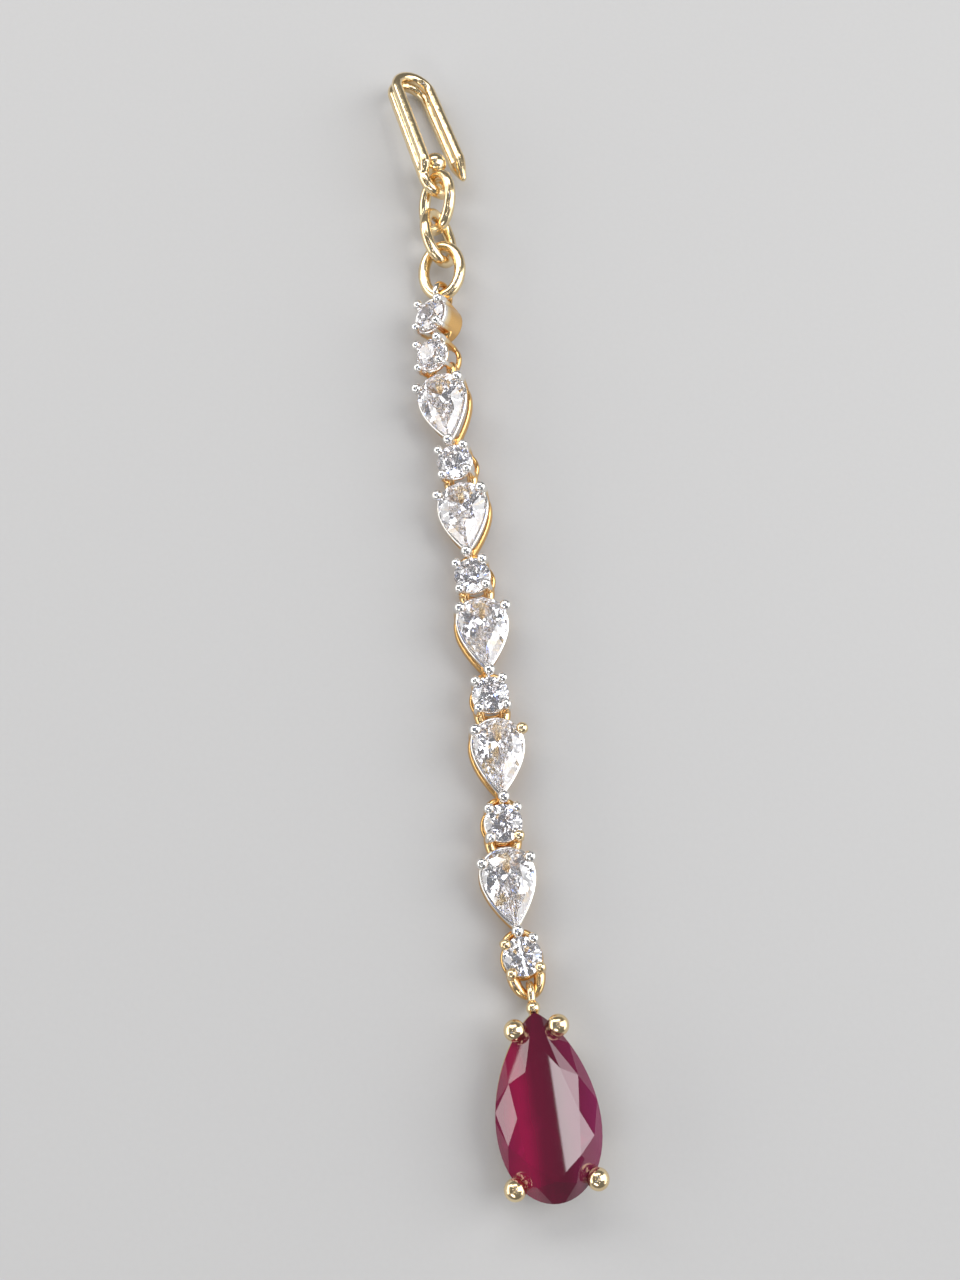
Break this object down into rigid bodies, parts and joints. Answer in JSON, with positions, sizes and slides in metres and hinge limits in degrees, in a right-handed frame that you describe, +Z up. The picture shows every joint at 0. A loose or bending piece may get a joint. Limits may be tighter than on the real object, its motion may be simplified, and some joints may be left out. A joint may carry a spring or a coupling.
{
  "type": "maang tikka",
  "caption": "Slim jewelled hair ornament: a row of claw-set clear round and pear stones on a double-wire hair hook with oval links, ending in a large crimson pear drop.",
  "frame": {"origin": "middle of the ornament's box, on the table it lies on", "axes": "+Y along the row from the drop to the hair hook, +X across the row, +Z up through the stones' tables"},
  "size_m": [0.0172, 0.095, 0.0045],
  "materials": {
    "gold_metal": "polished yellow gold, softly worn",
    "two_tone_metal": "polished white plating on claws and upper rails over yellow gold galleries",
    "clear_stone": "clear faceted stone",
    "crimson_stone": "deep crimson faceted stone"
  },
  "bodies": {
    "root": {"hook": "gold_metal", "link_1": "gold_metal", "link_2": "gold_metal", "link_3": "gold_metal", "round_setting_1": "two_tone_metal", "round_setting_2": "two_tone_metal", "round_setting_3": "two_tone_metal", "round_setting_4": "two_tone_metal", "round_setting_5": "two_tone_metal", "round_setting_6": "two_tone_metal", "round_setting_7": "two_tone_metal", "round_stone_1": "clear_stone", "round_stone_2": "clear_stone", "round_stone_3": "clear_stone", "round_stone_4": "clear_stone", "round_stone_5": "clear_stone", "round_stone_6": "clear_stone", "round_stone_7": "clear_stone", "pear_setting_1": "two_tone_metal", "pear_setting_2": "two_tone_metal", "pear_setting_3": "two_tone_metal", "pear_setting_4": "two_tone_metal", "pear_setting_5": "two_tone_metal", "pear_stone_1": "clear_stone", "pear_stone_2": "clear_stone", "pear_stone_3": "clear_stone", "pear_stone_4": "clear_stone", "pear_stone_5": "clear_stone", "drop_setting": "gold_metal", "drop_stone": "crimson_stone"}
  },
  "joints": []
}
